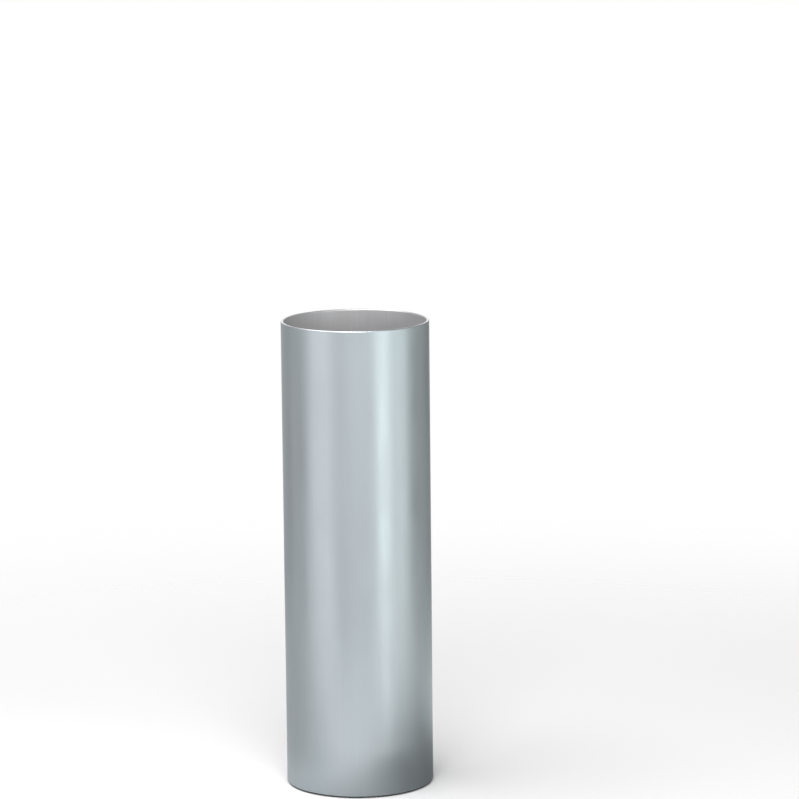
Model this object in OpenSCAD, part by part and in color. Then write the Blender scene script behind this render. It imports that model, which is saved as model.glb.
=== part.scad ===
// Round umbrella stand: a metal tube on a weighted base, with a drip tray that lifts out.
// Millimetres. The origin is on the floor in the middle of the base, with Z up.

/* [Overall] */
// Height from the floor to the top of the rim
stand_height = 510; // [300:5:700]
// Outside diameter of the tube
tube_diameter = 160; // [130:1:240]

/* [Tube] */
// Wall thickness of the tube
tube_wall = 3; // [2:0.25:4]
// Radius on each edge of the rim, limited by the wall
rim_round = 1.3; // [0.4:0.1:1.8]
// Narrowest flat left between the two rounded edges of the rim
rim_flat = 0.4; // [0.2:0.1:0.6]
// Chamfer on both edges of the lower end
tube_chamfer = 0.5; // [0.2:0.1:0.8]

/* [Base plug] */
// Thickness of the flange that the tube stands on
flange_thickness = 1; // [0.75:0.25:3]
// How far the flange edge stays inside the outer face of the tube
flange_inset = 0.8; // [0:0.1:1]
// Length of the plug inside the tube
spigot_height = 25; // [24:1:60]
// Wall thickness of the spigot
spigot_wall = 7; // [6.5:0.5:9]
// Radial gap that holds the adhesive between spigot and tube
bond_gap = 0.1; // [0.05:0.05:0.3]
// Chamfer that leads the spigot into the tube
spigot_lead_in = 1.5; // [0.5:0.25:2.5]
// Thickness of the deck that the tray stands on
deck_thickness = 3; // [2:0.5:4]
// Number of stiffening ribs under the deck
deck_rib_count = 8; // [4:4:12]
// Thickness of a stiffening rib
deck_rib_width = 2.4; // [1.5:0.1:3.5]
// Radius of the hub where the ribs meet
hub_radius = 12; // [8:1:16]

/* [Seal] */
// Thickness of the sealing ring before it is squeezed
seal_section = 3.6; // [3.3:0.1:3.8]
// Depth of the groove in the spigot
groove_depth = 3; // [2.8:0.1:3.2]
// Width of the groove
groove_width = 4.6; // [4:0.1:6]
// Height of the groove above the flange
groove_rise = 11; // [8:1:14]

/* [Ballast] */
// Thickness of the steel disc
ballast_thickness = 10; // [6:1:12]
// Radial gap between the disc and the spigot
ballast_gap = 0.5; // [0.2:0.1:2]
// Chamfer on the edges of the disc
ballast_chamfer = 0.6; // [0.2:0.1:1.5]

/* [Base cover] */
// Thickness of the cover
cover_thickness = 4; // [3.5:0.25:5]
// Width of the shoulder that the cover seats on
shoulder_width = 3; // [2:0.25:3.25]
// Radial gap around the cover
cover_gap = 0.3; // [0.1:0.1:0.8]
// Chamfer on the outer edge of the cover
cover_chamfer = 0.5; // [0.2:0.1:1]

/* [Cover screws] */
// Number of screws, with one foot between each two
fixing_count = 4; // [3:1:6]
// Distance from the edge of the ballast to the screw axis
screw_edge_distance = 20; // [12:1:26]
// Diameter of the screw shank
screw_diameter = 3.8; // [3:0.1:4.5]
// Length of the shank under the head
screw_length = 16; // [10:1:18]
// Diameter of the screw head
screw_head_diameter = 7.6; // [7:0.1:8.5]
// Height of the screw head
screw_head_height = 2.2; // [1.8:0.1:2.3]
// How deep the head lies below the face of the cover
screw_head_sink = 0.3; // [0.1:0.1:0.6]
// Width of each slot of the cross recess
drive_slot_width = 0.9; // [0.6:0.1:1.2]
// Length of each slot of the cross recess
drive_slot_length = 4.2; // [3:0.1:5]
// Depth of the cross recess
drive_slot_depth = 1.3; // [0.8:0.1:1.5]
// Wall around the screw in its boss
boss_wall = 3.6; // [2.5:0.1:4.5]
// Room past the tip of the screw
screw_tip_room = 2; // [1:0.5:3]
// Radial gap between shank and boss
thread_gap = 0.05; // [0.02:0.01:0.1]
// Radial gap around screws and bosses where they pass through
pass_gap = 0.5; // [0.2:0.1:1]

/* [Feet] */
// Height of the base above the floor
foot_rise = 1; // [0.75:0.25:6]
// Diameter of a foot
foot_diameter = 18; // [12:1:22]
// Depth of the recess that a foot is bonded into
foot_recess = 2; // [1:0.25:2.25]
// Radial gap between a foot and its recess
foot_gap = 0.2; // [0.1:0.1:0.5]
// Distance from the edge of the cover to the edge of a foot
foot_edge_distance = 4; // [2:0.5:8]
// Chamfer on the lower edge of a foot
foot_chamfer = 0.6; // [0.2:0.1:0.9]

/* [Drip tray] */
// Height of the tray from its foot ring to its rim
tray_height = 48; // [25:1:90]
// Wall thickness of the tray
tray_wall = 2; // [1.6:0.2:3]
// Thickness of the tray floor
tray_floor = 2.4; // [1.6:0.2:4]
// Inside radius between the floor and the wall of the tray
tray_corner = 5; // [3:0.5:8]
// Draft of the tray wall in degrees
tray_draft = 1; // [0.5:0.25:2]
// Radial gap between the rim of the tray and the tube
tray_gap = 1.5; // [1:0.25:3]
// Radius of the bead round the rim of the tray
bead_radius = 1.6; // [1.2:0.1:1.8]
// How far the bead stands out from the wall
bead_overhang = 1.2; // [0.6:0.1:1.4]
// Height of the foot ring under the tray
foot_ring_height = 2; // [1:0.5:4]
// Width of the foot ring
foot_ring_width = 2.4; // [1.6:0.2:4]
// Distance from the tray wall to the foot ring
foot_ring_inset = 12; // [9:1:20]
// Height of the drip ribs on the tray floor
drip_rib_height = 3; // [2:0.5:5]
// Width of a drip rib
drip_rib_width = 2.2; // [1.6:0.2:3]
// Distance from one drip rib to the next
drip_rib_pitch = 11; // [8:1:16]
// Width of the gaps that let water run between the rings
drain_width = 9; // [5:1:14]
// Number of those gaps
drain_count = 4; // [2:2:6]

/* [Tray tabs] */
// Width of a lifting tab
tab_width = 32; // [24:1:44]
// How far a tab rises above the rim of the tray
tab_rise = 18; // [14:1:28]
// Radius of the upper corners of a tab
tab_corner = 9; // [4:1:11]
// Radius of the grip along the top of a tab
grip_radius = 1.8; // [1.4:0.1:2.4]
// Distance from the top of a tab to the middle of its grip
grip_drop = 3; // [2.6:0.2:6]

/* [Hidden] */
$fn = 128;
cut = 0.5; // how far a cutting shape runs past the face that it opens

// Radii, from the outside in
tube_r = tube_diameter / 2;
bore_r = tube_r - tube_wall;
rim_r = min(rim_round, (tube_wall - rim_flat) / 2);
flange_r = tube_r - flange_inset;
spigot_r = bore_r - bond_gap;
groove_r = bore_r - groove_depth;
pocket_r = spigot_r - spigot_wall;
cover_seat_r = pocket_r + shoulder_width;
cover_r = cover_seat_r - cover_gap;
ballast_r = pocket_r - ballast_gap;

// Heights, from the floor up
base_bottom = foot_rise;
tube_bottom = base_bottom + flange_thickness;
cover_top = base_bottom + cover_thickness;
ballast_top = cover_top + ballast_thickness;
deck_top = tube_bottom + spigot_height;
deck_bottom = deck_top - deck_thickness;
groove_bottom = tube_bottom + groove_rise;

// Screws, bosses and feet
fixing_angle = 360 / fixing_count;
screw_r = screw_diameter / 2;
screw_head_r = screw_head_diameter / 2;
screw_circle_r = ballast_r - screw_edge_distance;
screw_seat = base_bottom + screw_head_sink + screw_head_height;
boss_r = screw_r + boss_wall;
boss_bore_r = screw_r + thread_gap;
boss_bore_top = screw_seat + screw_length + screw_tip_room;
foot_r = foot_diameter / 2;
foot_circle_r = cover_r - foot_edge_distance - foot_r;
foot_top = base_bottom + foot_recess;

// Drip tray
tray_bottom = deck_top;
tray_rim = tray_bottom + tray_height;
tray_shell_height = tray_height - foot_ring_height - bead_radius;
tray_top_r = bore_r - tray_gap - bead_overhang;
tray_base_r = tray_top_r - tray_shell_height * tan(tray_draft);
tray_basin_r = tray_base_r - tray_wall;
foot_ring_r = tray_base_r - foot_ring_inset;
drip_rib_bottom = tray_bottom + foot_ring_height + tray_floor;
drip_rib_reach = tray_basin_r - tray_corner - drip_rib_width;
tab_top = tray_rim + tab_rise;

// Copies its children round the Z axis, the first at the angle `first`
module at_circle(radius, count, first = 0) {
    for (i = [0:count - 1])
        rotate([0, 0, first + i * 360 / count])
            translate([radius, 0, 0])
                children();
}

// A disc with a chamfer on its lower edge, and on its upper edge if asked
module chamfered_disc(radius, thickness, chamfer, both = false) {
    upper = both ? chamfer : 0;
    upper_edge = both ? [[radius, thickness - upper]] : [];
    rotate_extrude()
        polygon(concat(
            [[0, 0], [radius - chamfer, 0], [radius, chamfer]],
            upper_edge,
            [[radius - upper, thickness], [0, thickness]]
        ));
}

module tube() {
    straight_top = stand_height - rim_r;
    color("silver") rotate_extrude() {
        polygon([
            [bore_r, straight_top],
            [bore_r, tube_bottom + tube_chamfer],
            [bore_r + tube_chamfer, tube_bottom],
            [tube_r - tube_chamfer, tube_bottom],
            [tube_r, tube_bottom + tube_chamfer],
            [tube_r, straight_top]
        ]);
        for (r = [bore_r + rim_r, tube_r - rim_r])
            translate([r, straight_top]) circle(rim_r);
        translate([bore_r + rim_r, straight_top])
            square([tube_wall - 2 * rim_r, rim_r]);
    }
}

// Half section of the plug: flange, spigot, deck, cover seat, ballast pocket and seal groove
module plug_section() {
    difference() {
        polygon([
            [0, base_bottom],
            [flange_r, base_bottom],
            [flange_r, tube_bottom],
            [spigot_r, tube_bottom],
            [spigot_r, deck_top - spigot_lead_in],
            [spigot_r - spigot_lead_in, deck_top],
            [0, deck_top]
        ]);
        translate([0, base_bottom - cut])
            square([cover_seat_r, cover_thickness + cut]);
        translate([0, cover_top - cut])
            square([pocket_r, deck_bottom - cover_top + cut]);
        translate([groove_r, groove_bottom])
            square([groove_depth + cut, groove_width]);
    }
}

// Ribs and hub that hold the ballast down, from the deck to the top of the disc
module deck_ribs() {
    rib_depth = deck_bottom - ballast_top + cut;
    translate([0, 0, ballast_top]) {
        cylinder(r = hub_radius, h = rib_depth);
        for (i = [0:deck_rib_count - 1])
            rotate([0, 0, i * 360 / deck_rib_count])
                translate([0, -deck_rib_width / 2, 0])
                    cube([pocket_r + cut, deck_rib_width, rib_depth]);
    }
}

module base_plug() {
    color("dimgray") difference() {
        union() {
            rotate_extrude() plug_section();
            deck_ribs();
            translate([0, 0, cover_top])
                at_circle(screw_circle_r, fixing_count)
                    cylinder(r = boss_r, h = deck_bottom - cover_top + cut);
        }
        translate([0, 0, cover_top - cut])
            at_circle(screw_circle_r, fixing_count)
                cylinder(r = boss_bore_r, h = boss_bore_top - cover_top + cut);
    }
}

// A round ring squeezed flat between the floor of its groove and the tube
module seal_ring() {
    squeezed = bore_r - groove_r;
    color("black") rotate_extrude() intersection() {
        translate([groove_r + squeezed / 2, groove_bottom + groove_width / 2])
            circle(seal_section / 2);
        translate([groove_r, groove_bottom]) square([squeezed, groove_width]);
    }
}

module ballast_disc() {
    color("lightsteelblue") translate([0, 0, cover_top]) difference() {
        chamfered_disc(ballast_r, ballast_thickness, ballast_chamfer, both = true);
        translate([0, 0, -cut])
            at_circle(screw_circle_r, fixing_count)
                cylinder(r = boss_r + pass_gap, h = ballast_thickness + 2 * cut);
    }
}

module base_cover() {
    head_pocket_depth = screw_seat - base_bottom;
    color("gray") translate([0, 0, base_bottom]) difference() {
        chamfered_disc(cover_r, cover_thickness, cover_chamfer);
        translate([0, 0, -cut]) {
            at_circle(screw_circle_r, fixing_count) {
                cylinder(r = screw_head_r + pass_gap, h = head_pocket_depth + cut);
                cylinder(r = screw_r + pass_gap, h = cover_thickness + 2 * cut);
            }
            at_circle(foot_circle_r, fixing_count, fixing_angle / 2)
                cylinder(r = foot_r + foot_gap, h = foot_recess + cut);
        }
    }
}

module cover_screw(index) {
    color("gainsboro") rotate([0, 0, (index - 1) * fixing_angle])
        translate([screw_circle_r, 0, screw_seat - screw_head_height]) difference() {
            union() {
                cylinder(r = screw_head_r, h = screw_head_height);
                cylinder(r = screw_r, h = screw_head_height + screw_length);
            }
            for (turn = [0, 90])
                rotate([0, 0, turn])
                    translate([-drive_slot_length / 2, -drive_slot_width / 2, -cut])
                        cube([drive_slot_length, drive_slot_width, drive_slot_depth + cut]);
        }
}

module foot(index) {
    color("black") rotate([0, 0, (index - 0.5) * fixing_angle])
        translate([foot_circle_r, 0, 0])
            chamfered_disc(foot_r, foot_top, foot_chamfer);
}

// Half section of a cup with a round lower corner and a wall that opens by the draft
module cup_section(base_r, height, corner) {
    top_r = base_r + (height - corner) * tan(tray_draft);
    square([base_r - corner, height]);
    translate([base_r - corner, corner]) circle(corner);
    polygon([[0, corner], [base_r, corner], [top_r, height], [0, height]]);
}

module tray_section() {
    shell_bottom = tray_bottom + foot_ring_height;
    translate([0, shell_bottom]) difference() {
        cup_section(tray_base_r, tray_shell_height, tray_corner + tray_wall);
        translate([0, tray_floor])
            cup_section(tray_basin_r, tray_shell_height, tray_corner);
    }
    translate([tray_top_r + bead_overhang - bead_radius, tray_rim - bead_radius])
        circle(bead_radius);
    translate([foot_ring_r, tray_bottom])
        square([foot_ring_width, foot_ring_height + tray_floor / 2]);
}

// Rings that keep umbrella tips above the water, crossed by drain gaps
module drip_ribs() {
    rib_depth = drip_rib_height + tray_floor / 2;
    translate([0, 0, drip_rib_bottom - tray_floor / 2]) difference() {
        rotate_extrude()
            for (r = [drip_rib_pitch:drip_rib_pitch:drip_rib_reach])
                translate([r, 0]) square([drip_rib_width, rib_depth]);
        for (i = [0:drain_count - 1])
            rotate([0, 0, (i + 0.5) * 360 / drain_count])
                translate([0, -drain_width / 2, tray_floor / 2])
                    cube([tray_base_r, drain_width, rib_depth]);
    }
}

// Two tongues that carry on up from the tray wall, each with a grip along its inner face
module tray_tabs() {
    tongue_bottom = tray_rim - 2 * bead_radius;
    grip_r = tray_top_r - tray_wall;
    intersection() {
        rotate_extrude() {
            translate([grip_r, tongue_bottom])
                square([tray_wall, tab_top - tongue_bottom]);
            translate([grip_r, tab_top - grip_drop]) circle(grip_radius);
        }
        rotate([90, 0, 90])
            translate([0, 0, -tube_r])
                linear_extrude(tube_diameter)
                    tab_outline(tongue_bottom);
    }
}

// Front view of a tab: square at the bottom, with round corners at the top
module tab_outline(bottom) {
    translate([-tab_width / 2, bottom - cut])
        square([tab_width, tab_top - tab_corner - bottom + cut]);
    translate([tab_corner - tab_width / 2, tab_top - 2 * tab_corner])
        square([tab_width - 2 * tab_corner, 2 * tab_corner]);
    for (side = [-1, 1])
        translate([side * (tab_width / 2 - tab_corner), tab_top - tab_corner])
            circle(tab_corner);
}

module drip_tray() {
    color("darkslategray") {
        rotate_extrude() tray_section();
        drip_ribs();
        tray_tabs();
    }
}

tube();
base_plug();
seal_ring();
ballast_disc();
base_cover();
for (i = [1:fixing_count]) {
    cover_screw(i);
    foot(i);
}
drip_tray();
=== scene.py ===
import math

import bmesh
import bpy
from mathutils import Matrix, Vector


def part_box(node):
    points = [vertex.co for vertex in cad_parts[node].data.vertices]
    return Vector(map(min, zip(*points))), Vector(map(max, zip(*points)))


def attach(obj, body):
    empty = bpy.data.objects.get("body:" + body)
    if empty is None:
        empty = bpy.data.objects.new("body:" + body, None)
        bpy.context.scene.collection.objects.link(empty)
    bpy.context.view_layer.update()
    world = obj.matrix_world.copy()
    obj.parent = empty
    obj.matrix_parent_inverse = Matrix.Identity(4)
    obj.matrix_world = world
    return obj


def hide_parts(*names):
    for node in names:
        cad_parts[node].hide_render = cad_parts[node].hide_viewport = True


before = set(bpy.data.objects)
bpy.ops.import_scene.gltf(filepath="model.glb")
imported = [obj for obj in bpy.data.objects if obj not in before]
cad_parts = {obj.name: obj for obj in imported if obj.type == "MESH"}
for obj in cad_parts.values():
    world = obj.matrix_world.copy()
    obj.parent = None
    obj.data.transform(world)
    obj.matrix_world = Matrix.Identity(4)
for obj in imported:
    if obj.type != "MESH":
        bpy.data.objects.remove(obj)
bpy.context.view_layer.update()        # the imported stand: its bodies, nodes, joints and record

mm = 0.001
scene = bpy.context.scene
scene.view_settings.view_transform = "Standard"
scene.view_settings.look = "None"

# sizes that several pieces share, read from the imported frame
tubeLow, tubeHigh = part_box("tube")
plugLow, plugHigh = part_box("base_plug")
sealLow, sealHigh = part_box("seal_ring")
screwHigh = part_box("cover_screw_1")[1]
ballastLow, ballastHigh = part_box("ballast_disc")
coverLow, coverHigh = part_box("base_cover")
trayLow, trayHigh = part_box("drip_tray")
tubeRadius = tubeHigh.x
boreRadius = sealHigh.x      # the seal lies flat against the bore
print("frame read: tube", round(tubeRadius * 2, 4), "by", round(tubeHigh.z - tubeLow.z, 4))

# how near, in metres, counts as the same place
ringReach = 1e-5
weldReach = 1e-6
cutWeldReach = 2e-6          # after a cut or a join
thinEdge = 1e-7              # edges shorter than this are dissolved

creaseDegrees = 35           # shading breaks at edges sharper than this
sharpDegrees = 50            # roundSharp rounds the edges sharper than this
cutPast = 1.0 * mm           # a cutting bar runs this far past the face it opens


# turns an outline of (radius, height) corners once round the axis
# the outline is closed unless it starts and ends on the axis
def turnOutline(corners, steps):
    bm = bmesh.new()
    verts = [bm.verts.new((radius, 0.0, height)) for radius, height in corners]
    onAxis = corners[0][0] == 0 and corners[-1][0] == 0
    edges = [bm.edges.new(pair) for pair in zip(verts, verts[1:])]
    if not onAxis:
        edges.append(bm.edges.new((verts[-1], verts[0])))
    bmesh.ops.spin(bm, geom=verts + edges, cent=(0, 0, 0), axis=(0, 0, 1), dvec=(0, 0, 0),
                   angle=math.tau, steps=steps, use_merge=True)
    bmesh.ops.remove_doubles(bm, verts=bm.verts, dist=weldReach)
    bmesh.ops.dissolve_degenerate(bm, edges=bm.edges, dist=thinEdge)
    bmesh.ops.recalc_face_normals(bm, faces=bm.faces)
    return bm


# rounds the ring of edges that runs round the axis at one radius and height
def roundRing(bm, radius, height, size, segments):
    def onRing(vert):
        across = abs(math.hypot(vert.co.x, vert.co.y) - radius)
        return across < ringReach and abs(vert.co.z - height) < ringReach
    ring = [edge for edge in bm.edges if onRing(edge.verts[0]) and onRing(edge.verts[1])]
    bmesh.ops.bevel(bm, geom=ring, offset=size, offset_type="OFFSET", affect="EDGES",
                    segments=segments, profile=0.5, material=-1, clamp_overlap=True)


# copies one bmesh into another, moved by a matrix
def addShape(target, source, matrix=Matrix.Identity(4)):
    part = bpy.data.meshes.new("part")
    bmesh.ops.transform(source, matrix=matrix, verts=source.verts)
    source.to_mesh(part)
    source.free()
    target.from_mesh(part)
    bpy.data.meshes.remove(part)


# a plain object, for a cut, the floor or a sheet of painted shade
def looseObject(name, bm):
    mesh = bpy.data.meshes.new(name)
    bm.to_mesh(mesh)
    bm.free()
    made = bpy.data.objects.new(name, mesh)
    scene.collection.objects.link(made)
    return made


# cuts or joins closed shapes and returns the result as a bmesh
# overlapping says that parts of the second shape cross each other
def combine(bm, otherBm, operation, overlapping=False):
    base = looseObject("base", bm)
    other = looseObject("other", otherBm)
    step = base.modifiers.new("combine", "BOOLEAN")
    step.operation = operation
    step.solver = "EXACT"
    step.use_self = overlapping
    step.object = other
    result = bmesh.new()
    result.from_object(base, bpy.context.evaluated_depsgraph_get())
    for spare in (base, other):
        mesh = spare.data
        bpy.data.objects.remove(spare)
        bpy.data.meshes.remove(mesh)
    bmesh.ops.remove_doubles(result, verts=result.verts, dist=cutWeldReach)
    bmesh.ops.dissolve_degenerate(result, edges=result.edges, dist=weldReach)
    return result


# a box from its lowest to its highest corner
def boxShape(low, high):
    bm = bmesh.new()
    bmesh.ops.create_cube(bm, size=1.0)
    bmesh.ops.scale(bm, vec=Vector(high) - Vector(low), verts=bm.verts)
    bmesh.ops.translate(bm, vec=(Vector(low) + Vector(high)) / 2, verts=bm.verts)
    return bm


# rounds every sharp edge
def roundSharp(bm, size, segments):
    sharp = [edge for edge in bm.edges if edge.calc_face_angle(0) > math.radians(sharpDegrees)]
    bmesh.ops.bevel(bm, geom=sharp, offset=size, offset_type="OFFSET", affect="EDGES",
                    segments=segments, profile=0.5, material=-1, clamp_overlap=True)


# a round bar along Z from low to high, for hubs, bosses, holes and grips
def roundBar(radius, low, high, steps):
    return turnOutline([(0, low), (radius, low), (radius, high), (0, high)], steps)


# the same bar at several places, as one shape
def barsAt(places, radius, low, high, steps=48):
    bars = bmesh.new()
    for x, y in places:
        addShape(bars, roundBar(radius, low, high, steps), Matrix.Translation((x, y, 0)))
    return bars


# a shallow groove in an underside, as outline corners from the inside out
def grooveCorners(inner, width, underside, depth):
    outer = inner + width
    return [(inner, underside), (inner, underside + depth), (outer, underside + depth), (outer, underside)]


# turns the finished bmesh into a shown piece that rides on a body and stands for its CAD node
def showPiece(name, bm, body, node, materials):
    mesh = bpy.data.meshes.new(name)
    bm.to_mesh(mesh)
    bm.free()
    mesh.shade_smooth()
    mesh.set_sharp_from_angle(angle=math.radians(creaseDegrees))
    for material in materials:
        mesh.materials.append(material)
    piece = bpy.data.objects.new(name, mesh)
    scene.collection.objects.link(piece)
    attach(piece, body)
    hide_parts(node)


noiseBand = (0.3, 0.7)       # nearly every noise value lies in it


# a material and the few kinds of node that the finishes are put together from
class Finish:
    def __init__(self, name, colour, metallic, roughness, **sockets):
        self.material = bpy.data.materials.new(name)
        self.material.use_nodes = True
        self.tree = self.material.node_tree
        self.shader = self.tree.nodes["Principled BSDF"]
        self.place = self.tree.nodes.new("ShaderNodeTexCoord").outputs["Object"]
        self.set("Base Color", (*colour, 1))
        self.set("Metallic", metallic)
        self.set("Roughness", roughness)
        for socket, value in sockets.items():
            self.set(socket, value)

    def set(self, socket, value):
        self.shader.inputs[socket].default_value = value

    def feed(self, socket, value):
        self.tree.links.new(value, self.shader.inputs[socket])

    # gives a socket a link or a plain value
    def fill(self, socket, value):
        if isinstance(value, bpy.types.NodeSocket):
            self.tree.links.new(value, socket)
        else:
            socket.default_value = value

    def node(self, kind, inputs=None, **settings):
        made = self.tree.nodes.new("ShaderNode" + kind)
        for key, value in settings.items():
            setattr(made, key, value)
        for key, value in (inputs or {}).items():
            self.fill(made.inputs[key], value)
        return made

    # noise in the piece's own coordinates, stretched by a different scale on each axis
    def noise(self, stretch, detail=3.0, roughness=0.55, at=(0, 0, 0)):
        mapped = self.node("Mapping", {"Vector": self.place, "Location": at, "Scale": stretch})
        return self.node("TexNoise", {"Vector": mapped.outputs[0], "Scale": 1.0, "Detail": detail,
                                      "Roughness": roughness}).outputs[0]

    def remap(self, value, fromLow, fromHigh, toLow, toHigh):
        return self.node("MapRange", {"Value": value, "From Min": fromLow, "From Max": fromHigh,
                                      "To Min": toLow, "To Max": toHigh}).outputs[0]

    # spreads a noise over a range of values
    def spread(self, noise, low, high):
        return self.remap(noise, *noiseBand, low, high)

    def maths(self, operation, first, second=0.0):
        return self.node("Math", {0: first, 1: second}, operation=operation).outputs[0]

    # the mix node keeps its colour sockets at places 6 and 7, and its colour result at place 2
    def mix(self, share, first, second):
        made = self.node("Mix", data_type="RGBA")
        self.fill(made.inputs[0], share)
        self.fill(made.inputs[6], first)
        self.fill(made.inputs[7], second)
        return made.outputs[2]

    # the surface thins out to nothing between two distances from a point
    def fadeOut(self, middle, near, far):
        reach = self.node("VectorMath", {0: self.place, 1: middle}, operation="DISTANCE").outputs["Value"]
        fade = self.node("MapRange", {"Value": reach, "From Min": near, "From Max": far, "To Min": 1.0,
                                      "To Max": 0.0}, interpolation_type="SMOOTHSTEP")
        self.feed("Alpha", fade.outputs[0])

    # reflections are drawn out by lines that run along the axis
    def drawLengthwise(self, amount):
        self.set("Anisotropic", amount)
        self.feed("Tangent", self.node("Tangent", direction_type="RADIAL", axis="Z").outputs[0])

    def bump(self, height, strength, distance):
        return self.node("Bump", {"Height": height, "Strength": strength, "Distance": distance}).outputs[0]


def grey(value, tint=(1, 1, 1)):
    return tuple(value * part for part in tint) + (1,)


# satin anodising: lines along the tube, a slow drift of its tone and a little haze from handling
anodisedLook = {"colour": (0.47, 0.52, 0.54), "tones": ((0.45, 0.515, 0.535, 1), (0.475, 0.525, 0.55, 1)),
                "lineTone": grey(0.42, (0.98, 1.0, 1.02)), "lineShare": 0.12, "anisotropy": 0.35,
                "roughness": 0.38, "hazeSpread": 0.05, "lineSpread": 0.02,
                "lineScale": (900, 900, 5), "driftScale": (9, 9, 2.2), "hazeScale": (30, 30, 12),
                "lineStrength": 0.12, "lineDepth": 0.02 * mm}


def anodisedFinish():
    look = anodisedLook
    rough, hazeSpread = look["roughness"], look["hazeSpread"]
    finish = Finish("anodisedAluminium", look["colour"], 1.0, rough)
    finish.drawLengthwise(look["anisotropy"])
    lines = finish.noise(look["lineScale"], detail=4, roughness=0.6)
    drift = finish.noise(look["driftScale"], detail=2, at=(3.1, 1.7, 0.4))
    haze = finish.noise(look["hazeScale"], detail=5, roughness=0.65)
    tone = finish.mix(finish.remap(drift, 0.35, 0.65, 0, 1), *look["tones"])
    lined = finish.spread(lines, 0.0, look["lineShare"])
    finish.feed("Base Color", finish.mix(lined, tone, look["lineTone"]))
    hazed = finish.remap(haze, 0.3, 0.75, rough - hazeSpread, rough + hazeSpread)
    uneven = finish.spread(lines, -look["lineSpread"], look["lineSpread"])
    finish.feed("Roughness", finish.maths("ADD", hazed, uneven))
    finish.feed("Normal", finish.bump(lines, look["lineStrength"], look["lineDepth"]))
    return finish.material


# the bore as it was drawn, scuffed by umbrella tips
boreLook = {"colour": (0.54, 0.54, 0.542), "tones": ((0.515, 0.516, 0.52, 1), (0.565, 0.566, 0.57, 1)),
            "scuffTone": (0.6, 0.6, 0.6, 1), "scuffShare": 0.5, "scuffRoughness": 0.1, "anisotropy": 0.3,
            "metallic": 0.75, "roughness": 0.42, "lineRoughness": (0.38, 0.46),
            "lineScale": (700, 700, 4), "scuffScale": (60, 60, 240),
            "lineStrength": 0.2, "lineDepth": 0.03 * mm}


def boreFinish():
    look = boreLook
    finish = Finish("drawnBore", look["colour"], look["metallic"], look["roughness"])
    finish.drawLengthwise(look["anisotropy"])
    lines = finish.noise(look["lineScale"], detail=4, roughness=0.65)
    scuff = finish.noise(look["scuffScale"], detail=6, roughness=0.7, at=(0.3, 0.9, 0.2))
    tone = finish.mix(finish.spread(lines, 0, 1), *look["tones"])
    scuffed = finish.remap(scuff, 0.62, 0.7, 0, look["scuffShare"])
    finish.feed("Base Color", finish.mix(scuffed, tone, look["scuffTone"]))
    rough = finish.remap(scuff, 0.6, 0.72, 0, look["scuffRoughness"])
    finish.feed("Roughness", finish.maths("ADD", finish.spread(lines, *look["lineRoughness"]), rough))
    finish.feed("Normal", finish.bump(lines, look["lineStrength"], look["lineDepth"]))
    return finish.material


# the bare cut rim, paler than the anodising, which also paints a highlight along the rim's top: fine turned
# lines and a few nicks
rimLook = {"colour": (0.85, 0.86, 0.87), "tone": (0.84, 0.85, 0.86, 1), "nickTone": (0.6, 0.61, 0.62, 1),
           "nickShare": 0.35, "nickRoughness": 0.08, "roughness": 0.2, "turnedRoughness": (0.22, 0.3),
           "turnedScale": (1500, 1500, 60), "nickScale": (260, 260, 260),
           "turnedStrength": 0.1, "turnedDepth": 0.01 * mm}


def rimAndHighlightFinish():
    look = rimLook
    finish = Finish("cutRimWithPaintedHighlight", look["colour"], 1.0, look["roughness"])
    turned = finish.noise(look["turnedScale"], detail=2)
    nicks = finish.noise(look["nickScale"], detail=6, roughness=0.75, at=(0.5, 0.1, 0.7))
    nicked = finish.remap(nicks, 0.62, 0.74, 0, look["nickShare"])
    finish.feed("Base Color", finish.mix(nicked, look["tone"], look["nickTone"]))
    rough = finish.remap(nicks, 0.6, 0.75, 0, look["nickRoughness"])
    finish.feed("Roughness", finish.maths("ADD", finish.spread(turned, *look["turnedRoughness"]), rough))
    finish.feed("Normal", finish.bump(turned, look["turnedStrength"], look["turnedDepth"]))
    return finish.material


# moulded plastic with a fine eroded texture, scuffed paler near the heights where things rub on it
mouldedLook = {"ior": 1.49, "darker": 0.8, "wear": (0.1, 0.6), "cloudRoughness": (-0.06, 0.05),
               "textureRoughness": 0.04, "textureScale": (2600, 2600, 2600), "cloudScale": (40, 40, 40),
               "scuffScale": (420, 420, 420), "textureStrength": 0.25, "textureDepth": 0.04 * mm}


def mouldedFinish(name, colour, wornColour, roughness, rubbedHeights):
    look = mouldedLook
    finish = Finish(name, colour, 0.0, roughness, IOR=look["ior"])
    texture = finish.noise(look["textureScale"], detail=2, roughness=0.5)
    cloud = finish.noise(look["cloudScale"], detail=4, roughness=0.6, at=(0.2, 0.5, 0.9))
    scuffs = finish.noise(look["scuffScale"], detail=6, roughness=0.7, at=(0.8, 0.3, 0.1))
    height = finish.node("SeparateXYZ", {0: finish.place}).outputs["Z"]
    rubbed = 0.0
    for middle, reach in rubbedHeights:
        away = finish.maths("ABSOLUTE", finish.maths("SUBTRACT", height, middle))
        rubbed = finish.maths("MAXIMUM", finish.remap(away, 0, reach, 1, 0), rubbed)
    worn = finish.maths("MULTIPLY", rubbed, finish.remap(scuffs, 0.35, 0.65, *look["wear"]))
    dark = tuple(part * look["darker"] for part in colour)
    tone = finish.mix(cloud, (*dark, 1), (*colour, 1))
    finish.feed("Base Color", finish.mix(worn, tone, (*wornColour, 1)))
    smoother, rougher = look["cloudRoughness"]
    clouded = finish.spread(cloud, roughness + smoother, roughness + rougher)
    textured = finish.spread(texture, -look["textureRoughness"], look["textureRoughness"])
    finish.feed("Roughness", finish.maths("ADD", clouded, textured))
    finish.feed("Normal", finish.bump(texture, look["textureStrength"], look["textureDepth"]))
    return finish.material


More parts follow.
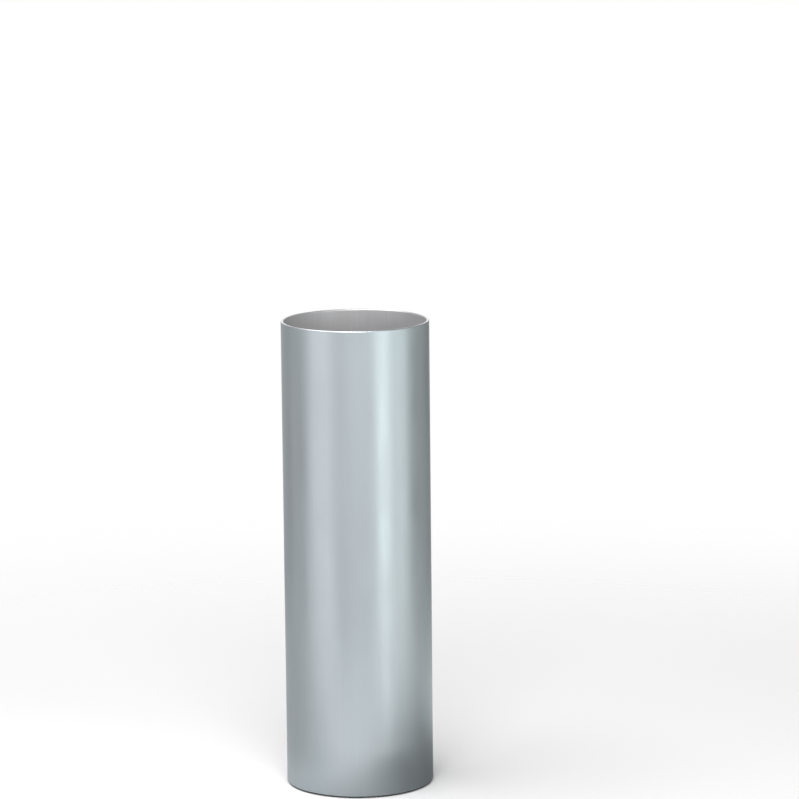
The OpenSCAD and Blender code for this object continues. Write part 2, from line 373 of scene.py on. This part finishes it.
# matt rubber with dust in its pores
rubberLook = {"colour": (0.02, 0.02, 0.021), "dust": (0.09, 0.087, 0.082, 1), "dustShare": 0.4, "ior": 1.52,
              "roughness": 0.78, "dustRoughness": (0.7, 0.88), "grainScale": (1800, 1800, 1800),
              "dustScale": (150, 150, 150), "grainStrength": 0.3, "grainDepth": 0.05 * mm}


def rubberFinish():
    look = rubberLook
    finish = Finish("footRubber", look["colour"], 0.0, look["roughness"], IOR=look["ior"])
    grain = finish.noise(look["grainScale"], detail=3)
    dust = finish.noise(look["dustScale"], detail=5, roughness=0.7)
    dusted = finish.remap(dust, 0.5, 0.75, 0, look["dustShare"])
    finish.feed("Base Color", finish.mix(dusted, (*look["colour"], 1), look["dust"]))
    finish.feed("Roughness", finish.spread(dust, *look["dustRoughness"]))
    finish.feed("Normal", finish.bump(grain, look["grainStrength"], look["grainDepth"]))
    return finish.material


# zinc plating with a faint spangle
zincLook = {"paler": 1.12, "spangleScale": 220.0, "cloudScale": (25, 25, 25), "cloudRoughness": (-0.05, 0.07),
            "spangleRoughness": 0.03, "cloudStrength": 0.1, "cloudDepth": 0.1 * mm}


def zincFinish(name, colour, roughness):
    look = zincLook
    finish = Finish(name, colour, 1.0, roughness)
    spangle = finish.node("TexVoronoi", {"Vector": finish.place, "Scale": look["spangleScale"]})
    patches = finish.node("RGBToBW", {0: spangle.outputs["Color"]}).outputs[0]
    cloud = finish.noise(look["cloudScale"], detail=4)
    pale = tuple(min(1, part * look["paler"]) for part in colour)
    finish.feed("Base Color", finish.mix(patches, (*colour, 1), (*pale, 1)))
    smoother, rougher = look["cloudRoughness"]
    clouded = finish.spread(cloud, roughness + smoother, roughness + rougher)
    spangled = finish.remap(patches, 0, 1, -look["spangleRoughness"], look["spangleRoughness"])
    finish.feed("Roughness", finish.maths("ADD", clouded, spangled))
    finish.feed("Normal", finish.bump(cloud, look["cloudStrength"], look["cloudDepth"]))
    return finish.material


anodisedAluminium = anodisedFinish()
drawnBore = boreFinish()
cutRimWithPaintedHighlight = rimAndHighlightFinish()
blackMoulding = mouldedFinish("blackMoulding", (0.022, 0.023, 0.025), (0.07, 0.07, 0.072), 0.5,
                              [(coverLow.z, 0.5 * mm), (plugHigh.z, 0.6 * mm)])
footRubber = rubberFinish()
zincSteel = zincFinish("zincSteel", (0.58, 0.60, 0.62), 0.34)
screwSteel = zincFinish("screwSteel", (0.62, 0.63, 0.64), 0.27)
print("finishes made")


# the tube: rounded at the rim, lightly chamfered at the foot, banded so that the faces stay short
# rim faces that face up more than the facing share get the pale rim metal, which partly paints a highlight on
# the rim
tubeShape = {"steps": 256, "bands": 10, "rimRound": 1.3 * mm, "rimSegments": 6, "paintedHighlightFacing": 0.68,
             "endChamfer": 0.5 * mm, "endSegments": 2}


def makeTube():
    shape = tubeShape
    top, bottom = tubeHigh.z, tubeLow.z
    bands = shape["bands"]
    heights = [bottom + (top - bottom) * band / bands for band in range(bands + 1)]
    outer = [(tubeRadius, height) for height in heights]
    inner = [(boreRadius, height) for height in reversed(heights)]
    bm = turnOutline(outer + inner, shape["steps"])
    for radius in (tubeRadius, boreRadius):
        roundRing(bm, radius, top, shape["rimRound"], shape["rimSegments"])
        roundRing(bm, radius, bottom, shape["endChamfer"], shape["endSegments"])
    # the cut rim is bare where it faces up; this pale metal is partly a painted highlight, as how far it
    # reaches down the rounds is set to hold the rim's highlight; its rounded sides keep the tube's own skins
    materials = [anodisedAluminium, drawnBore, cutRimWithPaintedHighlight]
    middle = (tubeRadius + boreRadius) / 2
    for face in bm.faces:
        centre = face.calc_center_median()
        if face.normal.z > shape["paintedHighlightFacing"]:
            face.material_index = materials.index(cutRimWithPaintedHighlight)
        elif math.hypot(centre.x, centre.y) < middle and centre.z > bottom + shape["endChamfer"]:
            face.material_index = materials.index(drawnBore)
    showPiece("tubeShell", bm, "stand", "tube", materials)


makeTube()
print("tube made")


# the base plug: flange, spigot with a seal groove, deck with ribs and a hub below it, screw bosses
plugShape = {"steps": 192, "bondGap": 0.1 * mm, "spigotWall": 7.0 * mm,
             "shoulder": 3.0 * mm, "leadIn": 1.5 * mm, "deck": 3.0 * mm, "groove": 3.0 * mm,
             "grooveWidth": 4.6 * mm, "grooveRise": 11.0 * mm, "edge": 0.25 * mm, "edgeSegments": 2,
             "ribs": 8, "ribWidth": 2.4 * mm, "hub": 12.0 * mm, "hubSteps": 64,
             "boss": 5.5 * mm, "bossBore": 1.95 * mm, "bossSteps": 40, "tipRoom": 2.0 * mm, "join": 0.5 * mm}
fixingCount = 4              # screws and feet


# the places round the axis of the screws or feet, worked out from the first one
def fixingPlaces(node):
    low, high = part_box(node)
    middle = (low + high) / 2
    circle = math.hypot(middle.x, middle.y)
    start = math.atan2(middle.y, middle.x)
    angles = [start + math.tau * i / fixingCount for i in range(fixingCount)]
    return [(circle * math.cos(angle), circle * math.sin(angle)) for angle in angles]


screwPlaces = fixingPlaces("cover_screw_1")
footPlaces = fixingPlaces("foot_1")


def makePlug():
    shape = plugShape
    spigot = boreRadius - shape["bondGap"]
    pocket = spigot - shape["spigotWall"]
    seat = pocket + shape["shoulder"]
    grooveFloor = boreRadius - shape["groove"]
    grooveLow = tubeLow.z + shape["grooveRise"]
    grooveHigh = grooveLow + shape["grooveWidth"]
    deckTop, deckBottom = plugHigh.z, plugHigh.z - shape["deck"]
    bm = turnOutline([
        (0, deckBottom), (pocket, deckBottom), (pocket, coverHigh.z), (seat, coverHigh.z),
        (seat, plugLow.z), (plugHigh.x, plugLow.z), (plugHigh.x, tubeLow.z), (spigot, tubeLow.z),
        (spigot, grooveLow), (grooveFloor, grooveLow), (grooveFloor, grooveHigh), (spigot, grooveHigh),
        (spigot, deckTop - shape["leadIn"]), (spigot - shape["leadIn"], deckTop), (0, deckTop),
    ], shape["steps"])
    for radius, height in ((plugHigh.x, plugLow.z), (plugHigh.x, tubeLow.z), (seat, plugLow.z),
                           (spigot, grooveLow), (spigot, grooveHigh)):
        roundRing(bm, radius, height, shape["edge"], shape["edgeSegments"])
    # the hub, ribs and bosses run a little way into the deck, and the ribs into the wall, to join them
    sunk = deckBottom + shape["join"]
    halfRib = shape["ribWidth"] / 2
    inner = roundBar(shape["hub"], ballastHigh.z, sunk, shape["hubSteps"])
    for rib in range(shape["ribs"]):
        bar = boxShape((0, -halfRib, ballastHigh.z), (pocket + shape["join"], halfRib, sunk))
        addShape(inner, bar, Matrix.Rotation(math.tau * rib / shape["ribs"], 4, "Z"))
    addShape(inner, barsAt(screwPlaces, shape["boss"], coverHigh.z, sunk, shape["bossSteps"]))
    bm = combine(bm, inner, "UNION", overlapping=True)
    boreTop = screwHigh.z + shape["tipRoom"]
    bores = barsAt(screwPlaces, shape["bossBore"], coverHigh.z - cutPast, boreTop, shape["bossSteps"])
    bm = combine(bm, bores, "DIFFERENCE")
    showPiece("basePlug", bm, "stand", "base_plug", [blackMoulding])


sealShape = {"steps": 160, "corner": 1.2 * mm, "cornerSegments": 5}


def makeSeal():
    shape = sealShape
    grooveFloor = boreRadius - plugShape["groove"]
    low, high = sealLow.z, sealHigh.z
    section = [(grooveFloor, low), (boreRadius, low), (boreRadius, high), (grooveFloor, high)]
    bm = turnOutline(section, shape["steps"])
    for radius in (grooveFloor, boreRadius):
        for height in (low, high):
            roundRing(bm, radius, height, shape["corner"], shape["cornerSegments"])
    showPiece("sealRing", bm, "stand", "seal_ring", [footRubber])


makePlug()
makeSeal()
print("plug and seal made")


# the ballast is a chamfered steel disc, the cover a moulded one with pockets for the screws and feet
ballastShape = {"steps": 160, "chamfer": 0.6 * mm, "chamferSegments": 1, "holeRadius": 6.0 * mm}
coverShape = {"steps": 192, "edge": 0.5 * mm, "edgeSegments": 3, "shankHole": 2.4 * mm,
              "headPocket": 4.3 * mm, "headPocketDepth": 2.5 * mm,
              "footRecess": 9.2 * mm, "footRecessDepth": 2.0 * mm, "footRecessSteps": 64,
              "rings": (14 * mm, 22 * mm, 30 * mm), "ringWidth": 1.2 * mm, "ringDepth": 0.4 * mm}


def makeBallast():
    shape = ballastShape
    low, high, radius = ballastLow.z, ballastHigh.z, ballastHigh.x
    bm = roundBar(radius, low, high, shape["steps"])
    for height in (low, high):
        roundRing(bm, radius, height, shape["chamfer"], shape["chamferSegments"])
    holes = barsAt(screwPlaces, shape["holeRadius"], low - cutPast, high + cutPast)
    bm = combine(bm, holes, "DIFFERENCE")
    showPiece("ballastDisc", bm, "stand", "ballast_disc", [zincSteel])


def makeCover():
    shape = coverShape
    low, high, radius = coverLow.z, coverHigh.z, coverHigh.x
    outline = [(0, low)]
    for ring in shape["rings"]:
        outline += grooveCorners(ring, shape["ringWidth"], low, shape["ringDepth"])
    outline += [(radius, low), (radius, high), (0, high)]
    bm = turnOutline(outline, shape["steps"])
    roundRing(bm, radius, low, shape["edge"], shape["edgeSegments"])
    below = low - cutPast
    pocketTop = low + shape["headPocketDepth"]
    recessTop = low + shape["footRecessDepth"]
    for bars in (barsAt(screwPlaces, shape["shankHole"], below, high + cutPast),
                 barsAt(screwPlaces, shape["headPocket"], below, pocketTop),
                 barsAt(footPlaces, shape["footRecess"], below, recessTop, shape["footRecessSteps"])):
        bm = combine(bm, bars, "DIFFERENCE")
    showPiece("baseCover", bm, "stand", "base_cover", [blackMoulding])


makeBallast()
makeCover()
print("ballast and cover made")


# the cover screws: domed head with a cross recess, tapered tip and a cut thread
# threadRoot is how far the thread starts inside the core, threadFlank half its foot as a share of the pitch
screwShape = {"steps": 48, "head": 3.8 * mm, "headHeight": 2.2 * mm, "dome": 1.1 * mm, "domeSegments": 5,
              "core": 1.6 * mm, "taper": 1.6 * mm, "tip": 0.4 * mm,
              "thread": 1.9 * mm, "pitch": 1.25 * mm, "threadRoot": 0.2 * mm, "threadFlank": 0.38,
              "threadStart": 0.3 * mm, "threadShort": 2.2 * mm, "threadSteps": 24,
              "slotLength": 4.2 * mm, "slotWidth": 0.9 * mm, "slotDepth": 1.3 * mm, "turnEach": 0.6}


# one triangle carried up a helix round the core
def makeThread(seat, top):
    shape = screwShape
    turns = int((top - seat - shape["threadShort"]) / shape["pitch"])
    start = seat + shape["threadStart"]
    half = shape["pitch"] * shape["threadFlank"]
    root = shape["core"] - shape["threadRoot"]
    thread = bmesh.new()
    corners = [(root, 0, start - half), (shape["thread"], 0, start), (root, 0, start + half)]
    section = thread.faces.new([thread.verts.new(corner) for corner in corners])
    steps = shape["threadSteps"]
    bmesh.ops.spin(thread, geom=[section], cent=(0, 0, 0), axis=(0, 0, 1), angle=math.tau * turns,
                   dvec=(0, 0, shape["pitch"] / steps), steps=steps * turns, use_merge=False)
    bmesh.ops.recalc_face_normals(thread, faces=thread.faces)
    return thread


def makeScrew(number):
    shape = screwShape
    low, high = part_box("cover_screw_" + str(number))
    seat = low.z + shape["headHeight"]
    bm = turnOutline([
        (0, low.z), (shape["head"], low.z), (shape["head"], seat), (shape["core"], seat),
        (shape["core"], high.z - shape["taper"]), (shape["tip"], high.z), (0, high.z),
    ], shape["steps"])
    roundRing(bm, shape["head"], low.z, shape["dome"], shape["domeSegments"])
    cross = bmesh.new()
    for turn in (0, math.pi / 2):
        slot = bmesh.new()
        bmesh.ops.create_cube(slot, size=1.0)
        size = (shape["slotLength"], shape["slotWidth"], shape["slotDepth"] * 2)
        bmesh.ops.scale(slot, vec=size, verts=slot.verts)
        addShape(cross, slot, Matrix.Rotation(turn, 4, "Z"))
    bmesh.ops.translate(cross, vec=(0, 0, low.z), verts=cross.verts)
    bm = combine(bm, cross, "DIFFERENCE", overlapping=True)
    bm = combine(bm, makeThread(seat, high.z), "UNION")
    # each screw was driven home to its own angle
    x, y = screwPlaces[number - 1]
    turned = Matrix.Translation((x, y, 0)) @ Matrix.Rotation(shape["turnEach"] * number, 4, "Z")
    bmesh.ops.transform(bm, matrix=turned, verts=bm.verts)
    name, node = "coverScrew" + str(number), "cover_screw_" + str(number)
    showPiece(name, bm, "stand", node, [screwSteel])


for number in range(1, fixingCount + 1):
    makeScrew(number)
print("screws made")


# the feet, with rings moulded in the tread
footShape = {"steps": 64, "chamfer": 0.6 * mm, "chamferSegments": 3, "grooves": (3.2 * mm, 5.6 * mm),
             "grooveWidth": 0.8 * mm, "grooveDepth": 0.5 * mm}


def makeFoot(number):
    shape = footShape
    low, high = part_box("foot_" + str(number))
    radius = (high.x - low.x) / 2
    outline = [(0, low.z)]
    for groove in shape["grooves"]:
        outline += grooveCorners(groove, shape["grooveWidth"], low.z, shape["grooveDepth"])
    outline += [(radius, low.z), (radius, high.z), (0, high.z)]
    bm = turnOutline(outline, shape["steps"])
    roundRing(bm, radius, low.z, shape["chamfer"], shape["chamferSegments"])
    x, y = footPlaces[number - 1]
    bmesh.ops.translate(bm, vec=(x, y, 0), verts=bm.verts)
    showPiece("foot" + str(number), bm, "stand", "foot_" + str(number), [footRubber])


for number in range(1, fixingCount + 1):
    makeFoot(number)
print("feet made")


# the drip tray: a shell with a beaded rim, a foot ring, rings of ribs and two tabs to lift it by
trayShape = {"steps": 192, "wall": 2.0 * mm, "floor": 2.4 * mm, "corner": 5.0 * mm, "cornerSegments": 7,
             "draftDegrees": 1.0, "edge": 0.5 * mm, "edgeSegments": 2,
             "beadHeight": 3.2 * mm, "beadOverhang": 1.2 * mm, "beadRound": 1.15 * mm,
             "rimRound": 0.9 * mm, "rimSegments": 4,
             "footRing": 2.0 * mm, "footRingWidth": 2.4 * mm, "footRingInset": 12.0 * mm,
             "ribPitch": 11.0 * mm, "ribWidth": 2.2 * mm, "ribHeight": 3.0 * mm, "ribSunk": 0.6 * mm,
             "ribStep": 1.2 * mm, "fewestRibSteps": 6, "drain": 9.0 * mm, "drainCount": 4}
tabShape = {"rise": 18.0 * mm, "width": 32.0 * mm, "corner": 9.0 * mm, "cornerSegments": 10,
            "edgeSegments": 3, "bends": 22, "grip": 1.8 * mm, "gripDrop": 3.0 * mm, "gripEnd": 2.5 * mm,
            "gripSteps": 24, "gripRound": 0.9, "gripSegments": 5}
trayLook = {"colour": (0.06, 0.065, 0.07), "worn": (0.13, 0.135, 0.14), "roughness": 0.42,
            "tabRub": 1.6 * mm, "rimRub": 0.8 * mm, "ribRub": 0.5 * mm}


# one tab as a flat plate with a grip, bent to the wall of the tray and turned to its side
def makeTab(radius, low, high, turn):
    shape = tabShape
    wall, half = trayShape["wall"], shape["width"] / 2
    plate = boxShape((0, -half, low), (wall, half, high))

    def isTopCorner(edge):
        first, second = edge.verts
        return min(first.co.z, second.co.z) > high - mm and first.co.y == second.co.y

    corners = [edge for edge in plate.edges if isTopCorner(edge)]
    bmesh.ops.bevel(plate, geom=corners, offset=shape["corner"], offset_type="OFFSET", affect="EDGES",
                    segments=shape["cornerSegments"], profile=0.5, material=-1, clamp_overlap=False)
    roundSharp(plate, trayShape["edge"], shape["edgeSegments"])
    gripLow, gripHigh = -half + shape["gripEnd"], half - shape["gripEnd"]
    grip = roundBar(shape["grip"], gripLow, gripHigh, shape["gripSteps"])
    for end in (gripLow, gripHigh):
        roundRing(grip, shape["grip"], end, shape["grip"] * shape["gripRound"], shape["gripSegments"])
    across = Matrix.Rotation(math.pi / 2, 4, "X")
    addShape(plate, grip, Matrix.Translation((0, 0, high - shape["gripDrop"])) @ across)
    for cut in range(1, shape["bends"]):
        everything = plate.verts[:] + plate.edges[:] + plate.faces[:]
        place = (0, -half + 2 * half * cut / shape["bends"], 0)
        bmesh.ops.bisect_plane(plate, geom=everything, plane_co=place, plane_no=(0, 1, 0))
    for vert in plate.verts:
        angle = vert.co.y / (radius + wall / 2) + turn
        reach = radius + vert.co.x
        vert.co.x, vert.co.y = reach * math.cos(angle), reach * math.sin(angle)
    return plate


# the rings of ribs that keep umbrella tips above the water, broken by drain gaps
def makeDripRibs(floorTop, reach):
    shape = trayShape
    ribs = bmesh.new()
    share = math.tau / shape["drainCount"]
    low, high = floorTop - shape["ribSunk"], floorTop + shape["ribHeight"]
    for ring in range(1, int(reach / shape["ribPitch"]) + 1):
        inner = ring * shape["ribPitch"]
        outer = inner + shape["ribWidth"]
        gap = math.asin(shape["drain"] / 2 / inner)
        steps = max(shape["fewestRibSteps"], int(inner / shape["ribStep"]))
        for part in range(shape["drainCount"]):
            rib = bmesh.new()
            corners = [(inner, 0, low), (outer, 0, low), (outer, 0, high), (inner, 0, high)]
            section = rib.faces.new([rib.verts.new(corner) for corner in corners])
            bmesh.ops.spin(rib, geom=[section], cent=(0, 0, 0), axis=(0, 0, 1), dvec=(0, 0, 0),
                           angle=share - 2 * gap, steps=steps)
            bmesh.ops.recalc_face_normals(rib, faces=rib.faces)
            roundSharp(rib, shape["edge"], shape["edgeSegments"])
            addShape(ribs, rib, Matrix.Rotation(share * (part - 0.5) + gap, 4, "Z"))
    return ribs


def makeTray():
    shape = trayShape
    wall, bead = shape["wall"], shape["beadHeight"]
    rim = trayHigh.z - tabShape["rise"]
    beadRadius = trayHigh.y
    topRadius = beadRadius - shape["beadOverhang"]
    shellLow = trayLow.z + shape["footRing"]
    slope = math.tan(math.radians(shape["draftDegrees"]))
    baseRadius = topRadius - (rim - shellLow) * slope
    floorTop = shellLow + shape["floor"]
    basin = baseRadius - wall
    ringInner = baseRadius - shape["footRingInset"]
    ringOuter = ringInner + shape["footRingWidth"]
    bm = turnOutline([
        (0, shellLow), (ringInner, shellLow), (ringInner, trayLow.z), (ringOuter, trayLow.z),
        (ringOuter, shellLow), (baseRadius, shellLow), (topRadius, rim - bead), (beadRadius, rim - bead),
        (beadRadius, rim), (topRadius - wall, rim), (basin, floorTop), (0, floorTop),
    ], shape["steps"])
    roundRing(bm, baseRadius, shellLow, shape["corner"] + wall, shape["cornerSegments"])
    roundRing(bm, basin, floorTop, shape["corner"], shape["cornerSegments"])
    for height in (rim, rim - bead):
        roundRing(bm, beadRadius, height, shape["beadRound"], shape["rimSegments"])
    roundRing(bm, topRadius - wall, rim, shape["rimRound"], shape["rimSegments"])
    for radius in (ringInner, ringOuter):
        roundRing(bm, radius, trayLow.z, shape["edge"], shape["edgeSegments"])
    bm = combine(bm, makeDripRibs(floorTop, basin - shape["corner"] - shape["ribWidth"]), "UNION")
    for turn in (0, math.pi):
        tab = makeTab(topRadius - wall, rim - bead / 2, trayHigh.z, turn)
        bm = combine(bm, tab, "UNION", overlapping=True)
    look = trayLook
    rubbedHeights = [(trayHigh.z, look["tabRub"]), (rim, look["rimRub"]),
                     (floorTop + shape["ribHeight"], look["ribRub"])]
    trayPlastic = mouldedFinish("trayPlastic", look["colour"], look["worn"], look["roughness"], rubbedHeights)
    showPiece("dripTray", bm, "tray", "drip_tray", [trayPlastic])


makeTray()
print("tray made")


studio = {"floorRadius": 1.6, "floorSteps": 96, "fadeFrom": 0.15, "fadeTo": 1.5,
          "floorColour": (0.8, 0.8, 0.795), "floorRoughness": 0.6, "floorSpread": 0.05,
          "floorMottle": (2, 2, 2),
          "surroundings": 0.27, "background": 1.0, "aim": 0.3,
          "plainLight": (1.0, 0.985, 1.0), "warmLight": (1.0, 0.955, 0.985),
          "coolLight": (0.955, 1.0, 0.985)}
# each panel's azimuth in degrees from the camera side towards +X, distance, height of its middle,
# width and height, and watts
panels = {
    "leftPanel": (-56, 2.0, 0.4, (1.8, 1.8), 11), "leftEdge": (-108, 1.7, 0.5, (0.8, 1.5), 1.6),
    "frontPanel": (0, 2.0, 0.4, (1.0, 1.8), 1.2), "frontHigh": (0, 1.7, 1.6, (1.2, 0.9), 27),
    "frontLow": (0, 1.2, 0.3, (1.2, 0.5), 1.4), "rightPanel": (42, 2.0, 0.4, (0.6, 1.8), 8.9),
    "rightWide": (74, 2.0, 0.4, (0.8, 1.8), 5.9), "rightEdge": (118, 1.7, 0.5, (0.9, 1.5), 0.9),
    "backPanel": (180, 1.7, 0.6, (1.3, 1.5), 4.6), "backLeft": (-145, 1.7, 0.6, (0.9, 1.5), 1.3),
    "topPanel": (-60, 0.6, 2.0, (2.4, 1.2), 34),
}
# soft-edged dark sheets on the floor that only reflections see: painted shade that stands in for the floor's
# shadow and darkens the tube at lower right and left
floorShadeSheets = {
    "rightShadeSheet": {"azimuth": 82, "distance": 0.2, "radius": 0.32, "core": 0.1, "height": 0.7 * mm,
                   "grey": 0.21},
    "leftShadeSheet": {"azimuth": -105, "distance": 0.42, "radius": 0.55, "core": 0.2, "height": 0.4 * mm,
                  "grey": 0.45},
}
shadeSheetSteps = 64
shadeSheetRoughness = 0.9
cameraPlace = {"distance": 4.253, "height": 1.173, "turn": -0.635, "down": 10.008, "roll": -0.579,
               "lens": 180.2, "farthest": 100}


# a place round the stand, its azimuth counted in degrees from the camera side towards +X
def placeAround(azimuth, distance, height):
    angle = math.radians(azimuth)
    return Vector((distance * math.sin(angle), -distance * math.cos(angle), height))


def makeFloor():
    bm = bmesh.new()
    bmesh.ops.create_circle(bm, cap_ends=True, segments=studio["floorSteps"], radius=studio["floorRadius"])
    floor = looseObject("floor", bm)
    rough, spread = studio["floorRoughness"], studio["floorSpread"]
    finish = Finish("paleFloor", studio["floorColour"], 0.0, rough)
    mottle = finish.noise(studio["floorMottle"], detail=3)
    finish.feed("Roughness", finish.spread(mottle, rough - spread, rough + spread))
    finish.fadeOut((0, 0, 0), studio["fadeFrom"], studio["fadeTo"])
    floor.data.materials.append(finish.material)


# a dark sheet of painted shade lying on the floor, seen only in reflections
def makeFloorShadeSheet(name, shadeSheet):
    middle = placeAround(shadeSheet["azimuth"], shadeSheet["distance"], shadeSheet["height"])
    bm = bmesh.new()
    bmesh.ops.create_circle(bm, cap_ends=True, segments=shadeSheetSteps, radius=shadeSheet["radius"],
                            matrix=Matrix.Translation(middle))
    sheet = looseObject(name, bm)
    finish = Finish(name + "PaintedShade", grey(shadeSheet["grey"])[:3], 0.0, shadeSheetRoughness)
    finish.fadeOut(middle, shadeSheet["core"], shadeSheet["radius"])
    sheet.data.materials.append(finish.material)
    for ray in ("camera", "diffuse", "transmission", "shadow"):
        setattr(sheet, "visible_" + ray, False)


# the panels on the left are a little warmer and those on the right a little cooler than the rest
def panelTint(name):
    if name.startswith("left"):
        return studio["warmLight"]
    if name.startswith("right"):
        return studio["coolLight"]
    return studio["plainLight"]


def addPanel(name, place, size, watts):
    light = bpy.data.lights.new(name, "AREA")
    light.color = panelTint(name)
    light.shape = "RECTANGLE"
    light.size, light.size_y = size
    light.energy = watts
    holder = bpy.data.objects.new(name, light)
    holder.location = place
    facing = Vector((0, 0, studio["aim"])) - place
    holder.rotation_euler = facing.to_track_quat("-Z", "Y").to_euler()
    holder.visible_camera = False
    scene.collection.objects.link(holder)


# the camera sees a white background, everything else a dim one
def makeSurroundings():
    world = bpy.data.worlds.new("studio")
    world.use_nodes = True
    scene.world = world
    nodes, links = world.node_tree.nodes, world.node_tree.links
    seen = nodes.new("ShaderNodeLightPath").outputs["Is Camera Ray"]
    level = nodes.new("ShaderNodeMapRange")
    level.inputs["To Min"].default_value = studio["surroundings"]
    level.inputs["To Max"].default_value = studio["background"]
    links.new(seen, level.inputs["Value"])
    nodes["Background"].inputs["Color"].default_value = (1, 1, 1, 1)
    links.new(level.outputs[0], nodes["Background"].inputs["Strength"])


def makeCamera():
    lens = bpy.data.cameras.new("camera")
    lens.lens = cameraPlace["lens"]
    lens.clip_end = cameraPlace["farthest"]
    camera = bpy.data.objects.new("camera", lens)
    place = Matrix.Translation((0, -cameraPlace["distance"], cameraPlace["height"]))
    turn = Matrix.Rotation(math.radians(cameraPlace["turn"]), 4, "Z")
    tilt = Matrix.Rotation(math.radians(90 - cameraPlace["down"]), 4, "X")
    roll = Matrix.Rotation(math.radians(cameraPlace["roll"]), 4, "Z")
    camera.matrix_world = place @ turn @ tilt @ roll
    scene.collection.objects.link(camera)
    scene.camera = camera


makeFloor()
for name, shadeSheet in floorShadeSheets.items():
    makeFloorShadeSheet(name, shadeSheet)
for name, (azimuth, distance, middle, size, watts) in panels.items():
    addPanel(name, placeAround(azimuth, distance, middle), size, watts)
makeSurroundings()
makeCamera()
print("studio made")
